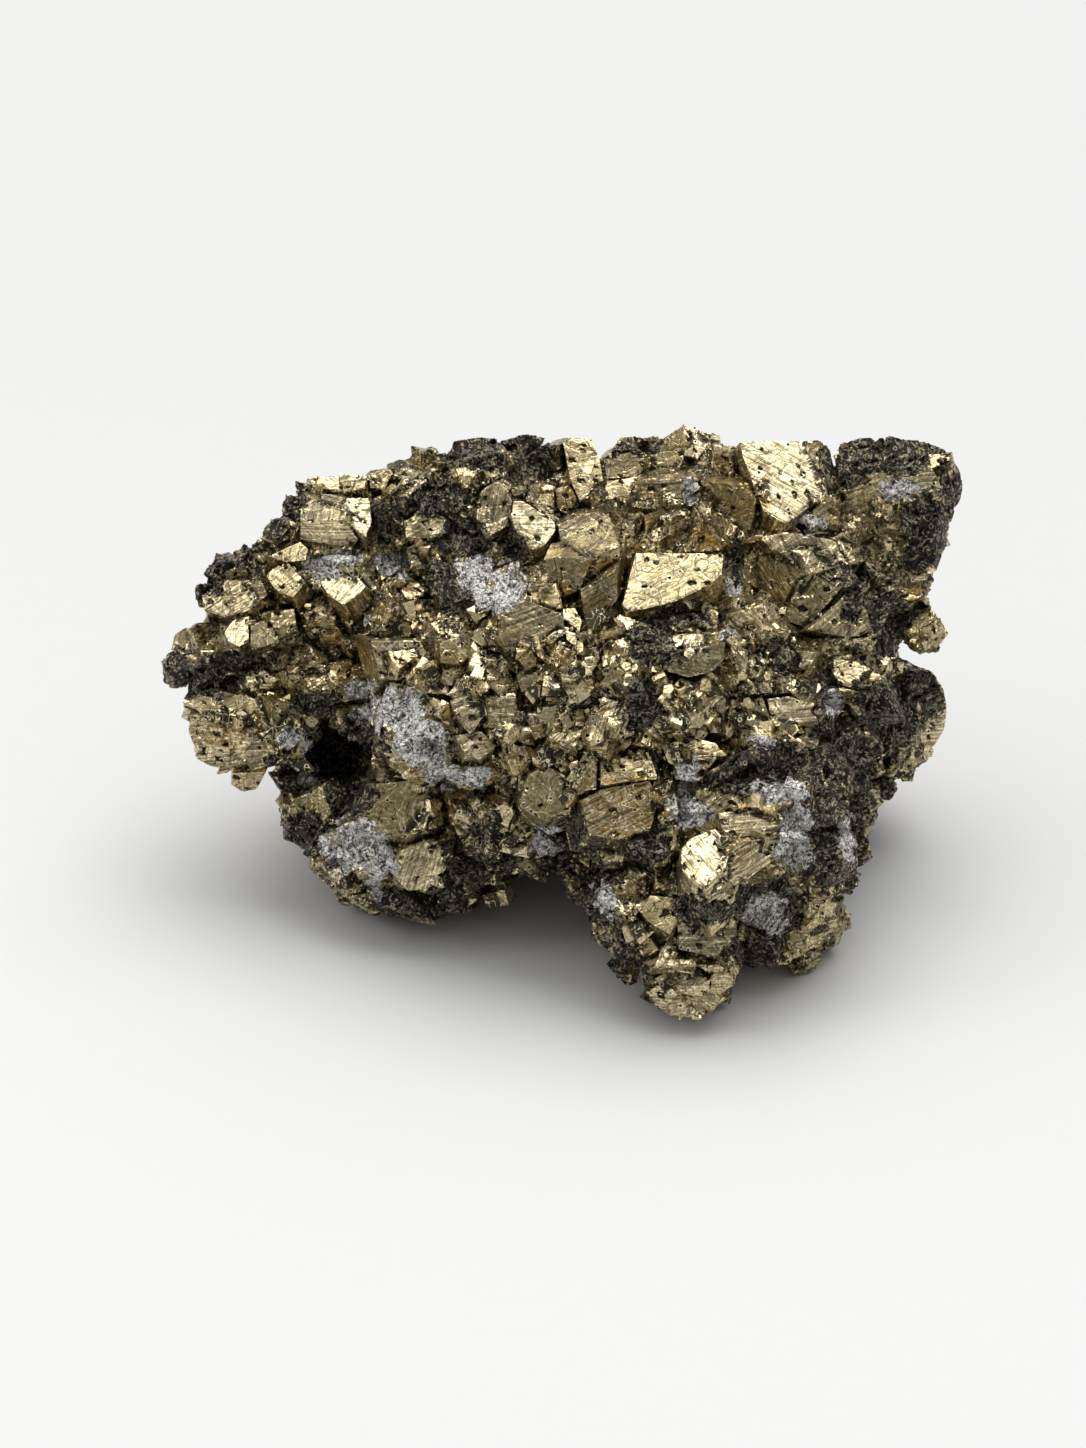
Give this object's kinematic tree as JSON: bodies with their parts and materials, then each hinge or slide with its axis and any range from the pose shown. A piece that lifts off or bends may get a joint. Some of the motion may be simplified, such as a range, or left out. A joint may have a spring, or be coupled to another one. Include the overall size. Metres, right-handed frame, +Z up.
{
  "type": "pyrite specimen",
  "caption": "Hand-sized cluster of intergrown brassy pyrite crystals on dark matrix with whitish quartz patches, resting on its low points.",
  "frame": {"origin": "on the ground, under the middle of the bounding box", "axes": "+X along the specimen's length, to the right as seen from the front; the front is towards -Y; +Z up"},
  "size_m": [0.0806, 0.0532, 0.0433],
  "materials": {
    "pyrite": "metallic, striated faces over a dull dark matrix"
  },
  "bodies": {
    "root": {"pyrite_cluster": "pyrite"}
  },
  "joints": []
}
